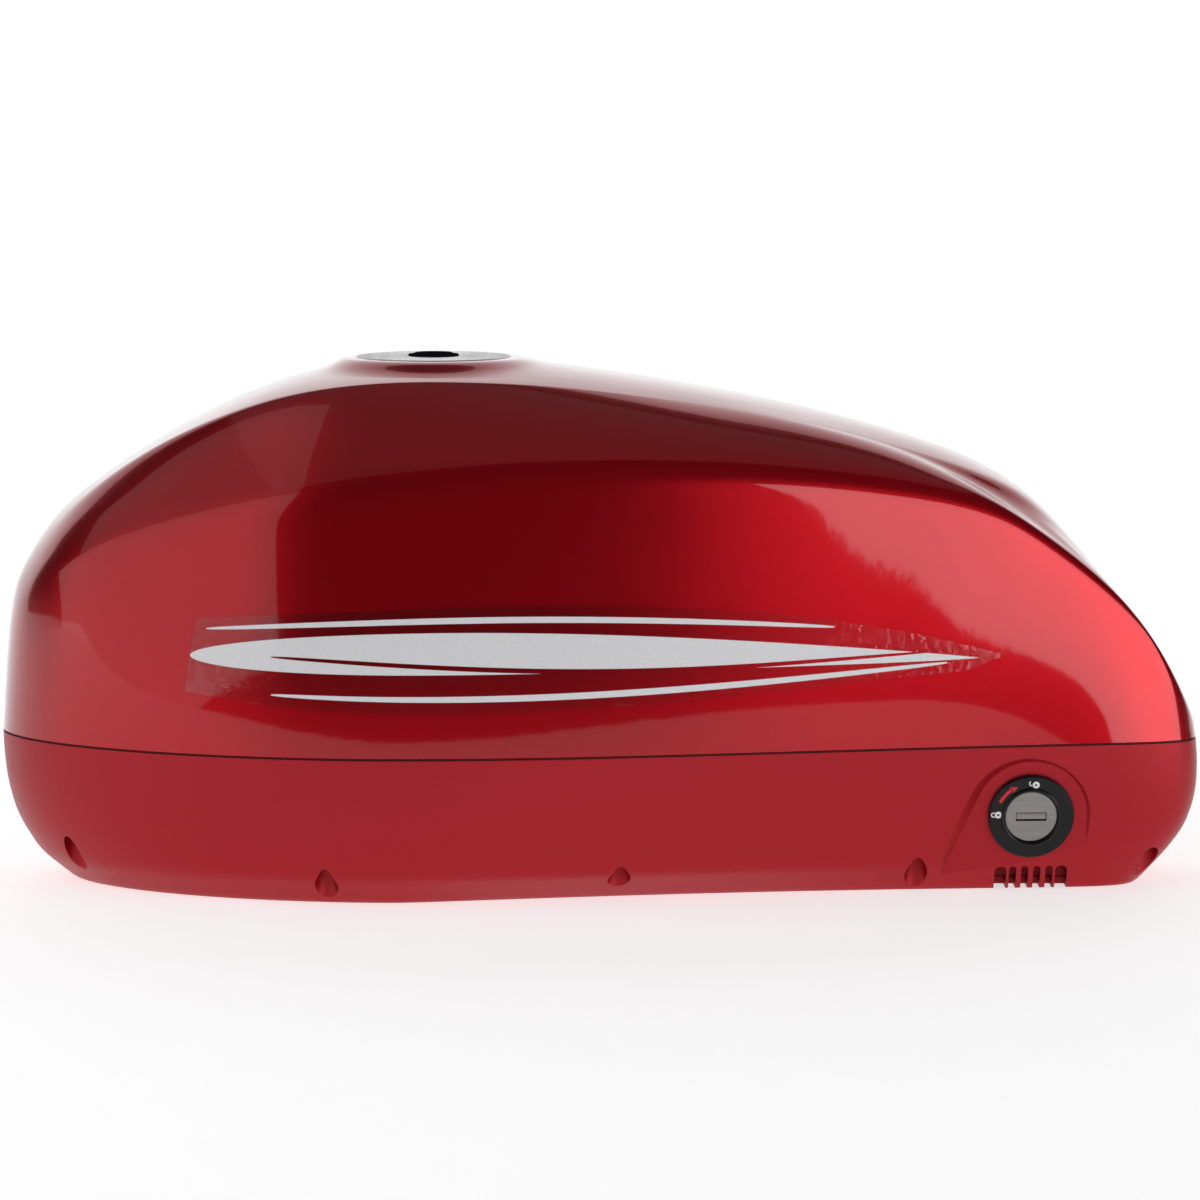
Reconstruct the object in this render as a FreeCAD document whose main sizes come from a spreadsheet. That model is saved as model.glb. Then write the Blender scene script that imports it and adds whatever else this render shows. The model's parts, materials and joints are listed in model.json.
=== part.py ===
import FreeCAD, Part
import math
import os

os.makedirs("parts", exist_ok=True)
doc = FreeCAD.newDocument("tank_battery")
V = FreeCAD.Vector

# Frame: +Z up, X along the case with the front at -X, lock side at -Y, rest plane z = 0.

DIMENSIONS = {
    # case outline, measured from the widest station
    "front_tip": -210, "rear_tip": 210, "widest_station": -68, "half_width": 83,
    "parting_height": 52, "parting_gap": 0.4, "wall": 2.6,
    "crease_height": 10, "deck_height": 183.4,
    # round plate and switch on the deck
    "cap_station": -57, "cap_radius": 27, "cap_thick": 2.2, "cap_proud": 0.3,
    "collar_radius": 30.8, "ceiling_height": 175.8,
    "switch_bore": 8.1, "button_radius": 7.2, "button_fit": 0.08, "button_rise": 1.2,
    # key lock in the -Y wall
    "lock_station": 150.6, "lock_height": 27, "lock_seat": -42.2, "lock_tilt": 10, "lock_yaw": 3.5,
    "bezel_radius": 14.9, "plug_radius": 8.9, "plug_body_radius": 8.4, "lock_fit": 0.08,
    "cam_throw": 4.95, "bolt_wide": 10, "bolt_thick": 3,
    # charge port in the +Y wall
    "port_station": -68, "port_height": 28, "port_seat": 75, "port_tilt": 11,
    # screws that join the halves
    "pocket_radius": 4, "pocket_top": 24, "insert_radius": 2.7, "screw_radius": 1.7,
    # dock channel in the underside
    "channel_front": -150, "channel_rear": 163, "channel_half": 20, "channel_deep": 14,
    "channel_wall": 2.5,
    # cell pack
    "cell_radius": 9.2, "cell_length": 65.2, "cell_pitch": 19.5, "cell_first": -150,
    "cell_low": 29, "holder_thick": 9, "holder_half": 36.5,
}
PARTING_SHARE = 0.53
REAR_POWER = 9
FRONT_POWER = 1.85
COLUMNS = 48
FINE = 720

# heights of the two creases and of the centre line along X
SHOULDER_LINE = ((-207, 92), (-190, 111), (-156, 122), (-108, 135), (-67, 143), (-16, 149.5), (51, 150),
                 (110, 143), (138, 135), (158, 122), (186, 97), (200, 78), (209, 58))
CREST_LINE = ((-201, 112), (-189, 126), (-171, 142), (-145, 158), (-110, 171.5), (-75, 177), (-33, 177),
              (2, 174), (37, 169), (66, 164), (96, 156.5), (121, 148.5), (138, 142.5), (151, 137))
CENTRE_LINE = ((-201, 112), (-190, 129), (-162, 150), (-134, 166), (-106, 177), (-70, 182), (-21, 181.5),
               (21, 176), (64, 168), (106, 157.5), (134, 147.5), (151, 137))


# ---------------------------------------------------------------- sheet and helpers
def make_sheet():
    sheet = doc.addObject("Spreadsheet::Sheet", "dims")
    for row, (alias, value) in enumerate(DIMENSIONS.items(), start=1):
        sheet.set("A%d" % row, alias)
        sheet.set("B%d" % row, str(value))
        sheet.setAlias("B%d" % row, alias)
    doc.recompute()
    return sheet


sheet = make_sheet()


def dim(alias):
    return float(sheet.get(alias))


def bind(item, prop, value):
    """Number: set it. Text: an expression on the sheet."""
    if isinstance(value, str):
        item.setExpression(prop, value)
    else:
        setattr(item, prop, value)


def put(item, at=(0, 0, 0), turn=None):
    item.Placement = FreeCAD.Placement(V(*[0 if isinstance(c, str) else c for c in at]),
                                       FreeCAD.Rotation(V(*turn[0]), turn[1]) if turn else FreeCAD.Rotation())
    for letter, value in zip("xyz", at):
        if isinstance(value, str):
            item.setExpression("Placement.Base." + letter, value)
    return item


def solid(kind, name, at=(0, 0, 0), turn=None, **sizes):
    item = doc.addObject("Part::" + kind, name)
    for prop, value in sizes.items():
        bind(item, prop, value)
    return put(item, at, turn)


def rod(name, radius, height, at=(0, 0, 0), turn=None):
    return solid("Cylinder", name, at, turn, Radius=radius, Height=height)


def block(name, size, at=(0, 0, 0), turn=None):
    return solid("Box", name, at, turn, Length=size[0], Width=size[1], Height=size[2])


def fuse(name, items):
    item = doc.addObject("Part::MultiFuse", name)
    item.Shapes = items
    return item


def cut(name, base, tool):
    item = doc.addObject("Part::Cut", name)
    item.Base = base
    item.Tool = tool
    return item


def group(name, items):
    item = doc.addObject("Part::Compound", name)
    item.Links = items
    return item


def computed(name, shape, placement=None):
    item = doc.addObject("Part::Feature", name)
    item.Shape = shape
    if placement:
        item.Placement = placement
    return item


def lock_frame():
    """Local +Z points out of the wall, a little down and to the rear, and +X runs along the case."""
    spot = V(dim("lock_station"), dim("lock_seat"), dim("lock_height"))
    yaw = FreeCAD.Rotation(V(0, 0, 1), dim("lock_yaw"))
    return FreeCAD.Placement(spot, yaw.multiply(FreeCAD.Rotation(V(1, 0, 0), 90 + dim("lock_tilt"))))


def port_frame():
    """Local +Z points out of the +Y wall and a little down."""
    spot = V(dim("port_station"), dim("port_seat"), dim("port_height"))
    return FreeCAD.Placement(spot, FreeCAD.Rotation(V(1, 0, 0), -90 - dim("port_tilt")))


# ---------------------------------------------------------------- case form
def ease(t):
    t = min(max(t, 0), 1)
    return t * t * (3 - 2 * t)


def height_on(line, x):
    """Smooth curve through the (x, z) points of a line."""
    last = len(line) - 1
    x = min(max(x, line[0][0]), line[last][0])
    k = max(i for i in range(last) if line[i][0] <= x)

    def slope(i):
        low = max(i - 1, 0)
        high = min(i + 1, last)
        return (line[high][1] - line[low][1]) / (line[high][0] - line[low][0])

    span = line[k + 1][0] - line[k][0]
    t = (x - line[k][0]) / span
    rise = line[k + 1][1] - line[k][1]
    a = slope(k) * span - rise
    b = rise - slope(k + 1) * span
    return line[k][1] + t * rise + t * (1 - t) * ((1 - t) * a + t * b)


def plan_half(front, rear, half, share, early=1):
    """Fine plan outline on the -Y side from the rear tip to the front tip. early below 1 tapers sooner."""
    widest = dim("widest_station")
    points = []
    for step in range(FINE + 1):
        near = step / FINE
        reach = 1 - near ** REAR_POWER
        taper = 1 - (1 - share) * ease(reach ** early)
        across = half * taper * (1 - reach ** REAR_POWER) ** (1 / REAR_POWER)
        points.append((widest + (rear - widest) * reach, -across))
    for step in range(1, FINE + 1):
        angle = math.pi / 2 * step / FINE
        reach = math.sin(angle) ** (2 / FRONT_POWER)
        across = half * max(math.cos(angle), 0) ** (2 / FRONT_POWER)
        points.append((widest - (widest - front) * reach, -across))
    return points


def evenly(points, count):
    """Same outline as count + 1 points at equal steps along it."""
    runs = [0]
    for a, b in zip(points, points[1:]):
        runs.append(runs[-1] + math.dist(a, b))
    spaced = []
    k = 0
    for step in range(count + 1):
        goal = runs[-1] * step / count
        while k < len(points) - 2 and runs[k + 1] <= goal:
            k += 1
        t = (goal - runs[k]) / (runs[k + 1] - runs[k])
        spaced.append(tuple(a + t * (b - a) for a, b in zip(points[k], points[k + 1])))
    return spaced


def loop(front, rear, half, share, height, early=1):
    """Half loop of the form. height is a number or a line of (x, z) points."""
    flat = evenly(plan_half(front, rear, half, share, early), COLUMNS)
    if isinstance(height, (int, float)):
        return [V(x, y, height) for x, y in flat]
    return [V(x, y, height_on(height, x)) for x, y in flat]


def circle_loop(radius, height):
    """Half loop around the round plate, height a number or a function of x, y."""
    points = []
    for step in range(COLUMNS + 1):
        angle = math.pi * step / COLUMNS
        x = dim("cap_station") + radius * math.cos(angle)
        y = -radius * math.sin(angle)
        points.append(V(x, y, height(x, y) if callable(height) else height))
    return points


def crest_loop():
    return loop(-201, 151, 46.5, 0.62, CREST_LINE)


def deck_height_at(crest):
    """Height of the top panel: the centre line, falling to the crest with the square of y."""
    edge = sorted((p.x, -p.y) for p in crest)

    def height(x, y):
        k = max([i for i in range(len(edge) - 1) if edge[i][0] <= x] or [0])
        t = (x - edge[k][0]) / (edge[k + 1][0] - edge[k][0])
        across = max(edge[k][1] + t * (edge[k + 1][1] - edge[k][1]), 0.01)
        centre = height_on(CENTRE_LINE, x)
        side = height_on(CREST_LINE, x)
        return centre - (centre - side) * min(abs(y) / across, 1) ** 2

    return height


def along(low, high, share, swell):
    """Loop between two loops, pushed outward by swell(point) at the middle."""
    points = []
    for a, b in zip(low, high):
        p = a + (b - a) * share
        run = V(b.x - a.x, b.y - a.y, 0)
        rise = b.z - a.z
        out = V(0, 0, run.Length)
        if run.Length > 0:
            out = run * (-rise / run.Length) + out
        size = out.Length or 1
        points.append(p + out * (4 * share * (1 - share) * swell(p) / size))
    return points


def beside(low, high, distance, swell, from_high):
    """Loop a set distance away from one of two loops, for the roundness of a crease."""
    points = []
    for k, (a, b) in enumerate(zip(low, high)):
        length = (b - a).Length or 1
        share = min(distance(a) / length, 0.35)
        points.append(along([a], [b], 1 - share if from_high else share, swell)[0])
    return points


def toward_front(p):
    return ease((-120 - p.x) / 85)


def toward_rear(p):
    return ease((p.x - 110) / 95)


def upper_loops():
    """Half loops from the parting line up to the rim of the round plate."""
    low = loop(dim("front_tip"), dim("rear_tip"), dim("half_width"), PARTING_SHARE,
               dim("parting_height") + dim("parting_gap") / 2)
    shoulder = loop(-207, 208.6, 79, 0.52, SHOULDER_LINE)
    crest = crest_loop()
    deck = deck_height_at(crest)
    foot = circle_loop(41, deck)
    side_swell = lambda p: 1.6 - 1.4 * toward_front(p) - 1.4 * toward_rear(p)
    slope_swell = lambda p: 2.2 + 3 * toward_rear(p) - 1.2 * toward_front(p)
    shoulder_round = lambda p: 10 + 12 * toward_front(p)
    crest_round = lambda p: 9 + 6 * toward_front(p) + 7 * toward_rear(p)
    loops = [low, along(low, shoulder, 0.3, side_swell), along(low, shoulder, 0.6, side_swell)]
    loops.append(beside(low, shoulder, shoulder_round, side_swell, True))
    loops.append(shoulder)
    loops.append(beside(shoulder, crest, shoulder_round, slope_swell, False))
    loops.append(along(shoulder, crest, 0.5, slope_swell))
    loops.append(beside(shoulder, crest, crest_round, slope_swell, True))
    loops.append(crest)
    for share in (0.1, 0.25, 0.45, 0.65, 0.85):
        flat = [a + (b - a) * share for a, b in zip(crest, foot)]
        loops.append([V(p.x, p.y, deck(p.x, p.y)) for p in flat])
    loops.append(foot)
    rim = dim("collar_radius")
    top = dim("deck_height")
    loops.append(circle_loop(rim + 6, lambda x, y: deck(x, y) + 0.2 * (top - deck(x, y))))
    loops.append(circle_loop(rim + 2, lambda x, y: deck(x, y) + 0.8 * (top - deck(x, y))))
    loops.append(circle_loop(rim, dim("deck_height")))
    loops.append(circle_loop(rim - 1.3, dim("deck_height")))
    return loops


def lower_loops():
    """Half loops from the parting line down to the flat of the underside."""
    top = loop(dim("front_tip"), dim("rear_tip"), dim("half_width"), PARTING_SHARE,
               dim("parting_height") - dim("parting_gap") / 2)
    crease = loop(-198, 199, 75, 0.5, dim("crease_height"), 0.85)
    sole = loop(-185.5, 190, 65.5, 0.51, 0, 0.6)
    flat = loop(-178, 182, 59, 0.5, 0, 0.6)
    inner = loop(-165, 162, 48, 0.48, 0, 0.6)
    wall_swell = lambda p: -1 - 3 * toward_front(p) - 5 * toward_rear(p)
    no_swell = lambda p: 0
    crease_round = lambda p: 4 + 8 * toward_front(p) + 5 * toward_rear(p)
    loops = [top, along(top, crease, 0.3, wall_swell), along(top, crease, 0.6, wall_swell)]
    loops.append(beside(top, crease, crease_round, wall_swell, True))
    loops.append(crease)
    loops.append(beside(crease, sole, crease_round, no_swell, False))
    loops.append(beside(crease, sole, lambda p: 3, no_swell, True))
    loops += [sole, beside(sole, flat, lambda p: 3, no_swell, False), flat, inner]
    return loops


def whole(half):
    """Both sides of a half loop as one closed ring."""
    return half + [V(p.x, -p.y, p.z) for p in reversed(half[1:-1])]


def moved_out(net, distance):
    """The same net shifted along its own outward direction."""
    rows = len(net)
    columns = len(net[0])
    shifted = []
    for r in range(rows):
        row = []
        for c in range(columns):
            around = net[r][(c + 1) % columns] - net[r][c - 1]
            up = net[min(r + 1, rows - 1)][c] - net[max(r - 1, 0)][c]
            out = up.cross(around)
            if up.z < 0 or (abs(up.z) < 0.001 and net[r][c].z < 1):
                out = around.cross(up)
            row.append(net[r][c] + out * (distance / out.Length))
        shifted.append(row)
    shifted[0] = levelled(shifted[0], net[0][0].z)
    return shifted


def net_solid(net):
    """Closed body from rings of poles, flat at the first and the last ring."""
    rows = len(net)
    columns = len(net[0])
    surface = Part.BSplineSurface()
    poles = [[net[r][c] for r in range(rows)] for c in range(columns)]
    surface.buildFromPolesMultsKnots(poles, [1] * (columns + 1), [4] + [1] * (rows - 4) + [4],
                                     list(range(columns + 1)), list(range(rows - 2)), True, False, 3, 3)
    skin = surface.toShape()
    faces = [skin]
    for edge in skin.Edges:
        if edge.BoundBox.ZLength < 0.01:
            faces.append(Part.Face(Part.Wire(edge)))
    closed = Part.Shell(faces)
    closed.sewShape()
    return Part.Solid(closed)


def levelled(row, height):
    return [V(p.x, p.y, height) for p in row]


def upper_outer():
    return net_solid([whole(half) for half in upper_loops()])


def upper_inner():
    net = moved_out([whole(half) for half in upper_loops()], -dim("wall"))
    ceiling = dim("ceiling_height")
    inner = net[:-4]
    inner.append(whole(circle_loop(31, ceiling)))
    inner.append(whole(circle_loop(28, ceiling)))
    below = dim("parting_height") - 5
    return net_solid([levelled(inner[0], below)] + inner[1:])


def lower_outer():
    return net_solid([whole(half) for half in lower_loops()])


def lower_inner():
    net = moved_out([whole(half) for half in lower_loops()], -dim("wall"))
    above = dim("parting_height") + 5
    net[0] = levelled(net[0], above)
    for r in (-1, -2, -3):
        net[r] = levelled(net[r], dim("wall"))
    return net_solid(net)


# ---------------------------------------------------------------- case halves
def pocket_spots():
    """Plan positions of the ten case screws, a set distance inside the crease."""
    crease = plan_half(-198, 199, 75, 0.5, 0.85)
    spots = []
    for station in (-178.8, -91.5, 8.4, 110.5, 191):
        k = min(range(1, len(crease) - 1), key=lambda i: abs(crease[i][0] - station))
        run = V(crease[k + 1][0] - crease[k - 1][0], crease[k + 1][1] - crease[k - 1][1], 0).normalize()
        spots.append((crease[k][0] - run.y * 3.4, crease[k][1] + run.x * -3.4))
    return spots + [(x, -y) for x, y in spots]


def ribs_at(spots, low, high):
    """Thin webs from each screw post out to the wall."""
    ribs = []
    for x, y in spots:
        away = math.degrees(math.atan2(y, x - max(min(x, 150), -120)))
        rib = Part.makeBox(24, 3, high - low, V(0, -1.5, low))
        rib.Placement = FreeCAD.Placement(V(x, y, 0), FreeCAD.Rotation(V(0, 0, 1), away)).multiply(rib.Placement)
        ribs.append(rib)
    return ribs


def rods_at(spots, radius, low, high):
    return Part.Compound([Part.makeCylinder(radius, high - low, V(x, y, low)) for x, y in spots])


def local(shape, frame):
    """Copy of a shape drawn in a local frame."""
    moved = shape.copy()
    moved.Placement = frame
    return moved


def vent_slots():
    """Six slots under the lock, from the chamfer into the underside."""
    slots = []
    for k in range(6):
        wide = 4.2 if k in (0, 5) else 2.5
        middle = 140.6 + 4.25 * k
        slot = Part.makeBox(wide, 30, 11.6, V(middle - wide / 2, -53, -3))
        slots.append(slot.makeFillet(wide / 2.2, [e for e in slot.Edges if e.BoundBox.ZMin > 8
                                                  and e.BoundBox.YLength > 20]))
    return Part.Compound(slots)


def lock_recess():
    """Arch-shaped flat around the lock with a sloped edge: one leg splays to the front."""
    lean = math.radians(24)
    wires = []
    for radius, height in ((19.6, 0), (27.6, 8)):
        touch = V(-radius * math.cos(lean), radius * math.sin(lean), height)
        foot = touch + V(-math.sin(lean), -math.cos(lean), 0) * 40
        top = V(0, radius, height)
        side = V(radius, 0, height)
        corner = V(radius, foot.y, height)
        wires.append(Part.Wire([Part.Arc(touch, top, side).toShape(), Part.makeLine(side, corner),
                                Part.makeLine(corner, foot), Part.makeLine(foot, touch)]))
    return Part.makeLoft(wires, True, True)


def channel_box(grow):
    front = dim("channel_front") - grow
    rear = dim("channel_rear") + grow
    half = dim("channel_half") + grow
    deep = dim("channel_deep") + grow
    base = 0 if grow else -5
    return Part.makeBox(rear - front, 2 * half, deep - base, V(front, -half, base))


def upper_shell():
    outer = upper_outer()
    inner = upper_inner()
    spots = pocket_spots()
    low = dim("parting_height") + dim("parting_gap") / 2
    skin = outer.cut(inner)
    posts = rods_at(spots, 5.2, low, low + 22).fuse(ribs_at(spots, low, low + 22)).common(outer)
    x = dim("cap_station")
    deck = dim("deck_height")
    seat = deck - dim("cap_thick") + dim("cap_proud")
    body = skin.fuse(posts)
    body = body.cut(Part.makeCylinder(dim("cap_radius") + 0.2, 10, V(x, 0, seat)))
    body = body.cut(Part.makeCylinder(dim("switch_bore"), 30, V(x, 0, seat - 20)))
    body = body.cut(rods_at(spots, dim("insert_radius"), low - 1, low + 9))
    body = body.cut(rods_at(spots, dim("screw_radius") + 0.3, low, low + 19))
    return computed("upper_shell", body.removeSplitter())


def lower_shell():
    outer = lower_outer()
    inner = lower_inner()
    spots = pocket_spots()
    top = dim("parting_height") - dim("parting_gap") / 2
    skin = outer.cut(inner)
    posts = rods_at(spots, 6.6, 0, top).common(outer)
    tray = channel_box(dim("channel_wall"))
    lock = lock_frame()
    port = port_frame()
    lock_pad = Part.makeCylinder(17, 12, V(0, 0, -8)).fuse(Part.makeCylinder(36, 12, V(0, 0, -3)))
    lock_pad = local(lock_pad, lock).common(outer)
    port_pad = local(Part.makeCylinder(21, 14, V(0, 0, -4)), port).common(outer)
    body = skin.fuse([posts, tray, lock_pad, port_pad])
    body = body.cut(channel_box(0))
    body = body.cut(rods_at(spots, dim("pocket_radius"), -3, dim("pocket_top")))
    body = body.cut(rods_at(spots, dim("screw_radius") + 0.3, 0, top + 1))
    body = body.cut(local(lock_recess(), lock))
    body = body.cut(local(Part.makeCylinder(11.1, 30, V(0, 0, -20)), lock))
    body = body.cut(local(Part.makeCylinder(14, 20).fuse(Part.makeBox(16, 18.8, 20, V(-8, -18.8, 0))), port))
    body = body.cut(local(Part.makeCylinder(10.1, 30, V(0, 0, -20)), port))
    body = body.cut(local(Part.makeBox(10.6, 14, 3.6, V(-5.3, -26, -34.5)), lock).common(tray))
    body = body.cut(vent_slots())
    for x, y in bolt_guide_spots() + dock_spots() + rail_spots():
        body = body.cut(Part.makeCylinder(1.25, 12, V(x, y, 10)))
    front = dim("channel_front")
    body = body.cut(Part.makeBox(8, 30.4, 10.2, V(front - 5, -15.2, 3)))
    return computed("lower_shell", body.removeSplitter())


def rim_wire(inset, height):
    """Parting line curve moved inward."""
    ring = whole(upper_loops()[0])
    columns = len(ring)
    poles = []
    for k in range(columns):
        run = ring[(k + 1) % columns] - ring[k - 1]
        side = V(0, 0, 1).cross(run)
        side = side if side.dot(ring[k] - V(dim("widest_station"), 0, ring[k].z)) < 0 else side * -1
        p = ring[k] + side * (inset / side.Length)
        poles.append(V(p.x, p.y, height))
    curve = Part.BSplineCurve()
    curve.buildFromPolesMultsKnots(poles, [1] * (columns + 1), list(range(columns + 1)), True, 3)
    return Part.Wire(curve.toShape())


def shell_seal():
    gap = dim("parting_gap")
    low = dim("parting_height") - gap / 2
    outside = Part.Face(rim_wire(0.7, low)).extrude(V(0, 0, gap))
    inside = Part.Face(rim_wire(2.1, low - 1)).extrude(V(0, 0, gap + 2))
    return computed("shell_seal", outside.cut(inside))


def stripe_face():
    """Outline of the side graphic: a long tapering flash, seen from the side."""
    tail = [V(-140, 0, 74), V(-96, 0, 69), V(30, 0, 71), V(128, 0, 79)]
    head = [V(141, 0, 84), V(60, 0, 100), V(-40, 0, 104), V(-136, 0, 99)]
    low = Part.BSplineCurve()
    low.interpolate(tail)
    high = Part.BSplineCurve()
    high.interpolate(head)
    edges = [low.toShape(), Part.makeLine(tail[-1], head[0]), high.toShape(), Part.makeLine(head[-1], tail[0])]
    return Part.Face(Part.Wire(edges))


def side_decals():
    film = net_solid(moved_out([whole(half) for half in upper_loops()], 0.15))
    outer = upper_outer()
    flash = stripe_face()
    right = flash.extrude(V(0, -100, 0)).common(film).cut(outer)
    left = flash.extrude(V(0, 100, 0)).common(film).cut(outer)
    return [computed("side_decal_right", right), computed("side_decal_left", left)]


def case_screws():
    """Pan head screws driven up from the pockets."""
    screws = []
    reach = dim("parting_height") + 18 - dim("pocket_top")
    for k, (x, y) in enumerate(pocket_spots()):
        shank = rod("case_screw_shank_%d" % k, "dims.screw_radius", reach, (x, y, "dims.pocket_top"))
        head = rod("case_screw_head_%d" % k, 3.3, 2.6, (x, y, dim("pocket_top") - 2.6))
        socket = solid("Prism", "case_screw_socket_%d" % k, (x, y, dim("pocket_top") - 3.6),
                       Polygon=6, Circumradius=1.5, Height=2.4)
        screws.append(cut("case_screw_%d" % k, fuse("case_screw_body_%d" % k, [shank, head]), socket))
    return group("case_screws", screws)


def threaded_inserts():
    low = dim("parting_height") + dim("parting_gap") / 2
    inserts = []
    for k, (x, y) in enumerate(pocket_spots()):
        sleeve = rod("insert_sleeve_%d" % k, "dims.insert_radius", 9, (x, y, low))
        bore = rod("insert_bore_%d" % k, "dims.screw_radius", 11, (x, y, low - 1))
        inserts.append(cut("insert_%d" % k, sleeve, bore))
    return group("threaded_inserts", inserts)


# ---------------------------------------------------------------- round plate and switch
def sketch_on(body, role, name):
    sketch = body.newObject("Sketcher::SketchObject", name)
    plane = [f for f in body.Origin.OriginFeatures if f.Role == role][0]
    sketch.AttachmentSupport = [(plane, "")]
    sketch.MapMode = "FlatFace"
    return sketch


def add_outline(sketch, corners):
    for a, b in zip(corners, corners[1:] + corners[:1]):
        sketch.addGeometry(Part.LineSegment(V(a[0], a[1], 0), V(b[0], b[1], 0)), False)


def turned(name, corners, frame):
    """Revolved body from (radius, height) corners."""
    body = doc.addObject("PartDesign::Body", name)
    sketch = sketch_on(body, "XZ_Plane", name + "_profile")
    add_outline(sketch, corners)
    spin = body.newObject("PartDesign::Revolution", name + "_turn")
    spin.Profile = sketch
    spin.ReferenceAxis = (sketch, ["V_Axis"])
    spin.Angle = 360
    body.Placement = frame
    return body


def deck_frame(height):
    return FreeCAD.Placement(V(dim("cap_station"), 0, height), FreeCAD.Rotation())


def cap_plate():
    body = doc.addObject("PartDesign::Body", "cap_plate")
    sketch = sketch_on(body, "XY_Plane", "cap_plate_outline")
    sketch.addGeometry(Part.Circle(V(0, 0, 0), V(0, 0, 1), dim("cap_radius")), False)
    sketch.addGeometry(Part.Circle(V(0, 0, 0), V(0, 0, 1), dim("switch_bore")), False)
    pad = body.newObject("PartDesign::Pad", "cap_plate_pad")
    pad.Profile = sketch
    bind(pad, "Length", "dims.cap_thick - 0.5")
    edge = body.newObject("PartDesign::Chamfer", "cap_plate_edge")
    doc.recompute()
    top = dim("cap_thick") - 0.5
    names = ["Edge%d" % (k + 1) for k, e in enumerate(pad.Shape.Edges)
             if e.BoundBox.ZMin > top - 0.01 and e.Length > 100]
    edge.Base = (pad, names)
    edge.Size = 0.35
    body.Placement = deck_frame(dim("deck_height") + dim("cap_proud") - top)
    return body


def cap_plate_seal():
    base = dim("deck_height") + dim("cap_proud") - dim("cap_thick")
    disc = rod("cap_seal_disc", "dims.cap_radius - 0.5", 0.5, ("dims.cap_station", 0, base))
    bore = rod("cap_seal_bore", 12, 2, ("dims.cap_station", 0, base - 1))
    return cut("cap_plate_seal", disc, bore)


def switch_parts():
    """Push button switch: bezel on the plate, body below the deck, sprung button."""
    top = dim("deck_height") + dim("cap_proud")
    bore = dim("button_radius") + dim("button_fit")
    barrel = dim("switch_bore") - 0.1
    body = turned("switch_body", [(bore, -4), (bore, 0.7), (8.6, 0.7), (8.9, 0.3), (8.9, 0), (barrel, 0),
                                  (barrel, -26), (6.9, -26), (6.9, -30), (0, -30), (0, -22), (7, -22),
                                  (7, -6.5), (6.2, -6.5), (6.2, -5.5), (bore, -5.5)],
                  deck_frame(top))
    radius = dim("button_radius")
    rise = dim("button_rise")
    button = turned("switch_button", [(0, rise), (radius - 0.7, rise), (radius, rise - 0.6), (radius, -2.9),
                                      (5.6, -2.9), (5.6, -6.5), (6.6, -6.5), (6.6, -8.5), (0, -8.5)],
                    deck_frame(top))
    under = dim("ceiling_height") - top
    nut = turned("switch_nut", [(barrel, under), (11.5, under), (11.5, under - 4), (barrel, under - 4)],
                 deck_frame(top))
    coil = Part.makeHelix(2.4, 12.2, 5.2)
    wire = Part.makePolygon([V(5.2 + r, 0, z) for r, z in ((-0.4, -0.4), (0.4, -0.4), (0.4, 0.4),
                                                           (-0.4, 0.4), (-0.4, -0.4))])
    spring = Part.Wire(coil).makePipeShell([wire], True, True)
    spring.translate(V(dim("cap_station"), 0, top - 21.5))
    return [body, button, nut, computed("switch_spring", spring)]


# ---------------------------------------------------------------- key lock
def lock_parts():
    frame = lock_frame()
    face = dim("plug_radius")
    core = dim("plug_body_radius")
    fit = dim("lock_fit")
    rim = dim("bezel_radius")
    bezel = turned("lock_bezel", [(11.2, 0), (rim, 0), (rim, 1.4), (rim - 0.4, 1.8), (10.6, 1.8), (10.4, 2.3),
                                  (9.9, 2.6), (9.4, 2.3), (face + fit, 1.6), (face + fit, 0.6), (11.2, 0.6)],
                   frame)
    barrel = turned("lock_barrel", [(core + fit, 0.5), (11, 0.5), (11, -24), (core + fit, -24)], frame)
    nut = solid("Prism", "lock_nut_blank", Polygon=6, Circumradius=15.5, Height=4)
    nut_bore = rod("lock_nut_bore", 11, 10, (0, 0, -3))
    nut = cut("lock_nut", nut, nut_bore)
    nut.Placement = frame.multiply(FreeCAD.Placement(V(0, 0, -12), FreeCAD.Rotation()))
    plug_face = rod("plug_face", "dims.plug_radius", 0.7, (0, 0, 0.6))
    plug_core = rod("plug_core", "dims.plug_body_radius", 26, (0, 0, -25.4))
    key_slot = block("plug_key_slot", (10.6, 3, 14), (-5.3, -1.5, -12))
    tap = rod("plug_tap", 1.5, 9, (0, 0, -26))
    plug = cut("lock_plug", fuse("plug_blank", [plug_face, plug_core]), fuse("plug_voids", [key_slot, tap]))
    plug.Placement = frame
    flap = block("flap_plate", (10.2, 2.0, 0.5), (-5.1, -1.0, 0.45))
    pin = rod("flap_pin", 0.4, 10.2, (-5.1, 1.0, 0.7), ((0, 1, 0), 90))
    shutter = fuse("lock_shutter", [flap, pin])
    shutter.Placement = frame
    return [bezel, barrel, nut, plug, shutter]


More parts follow.
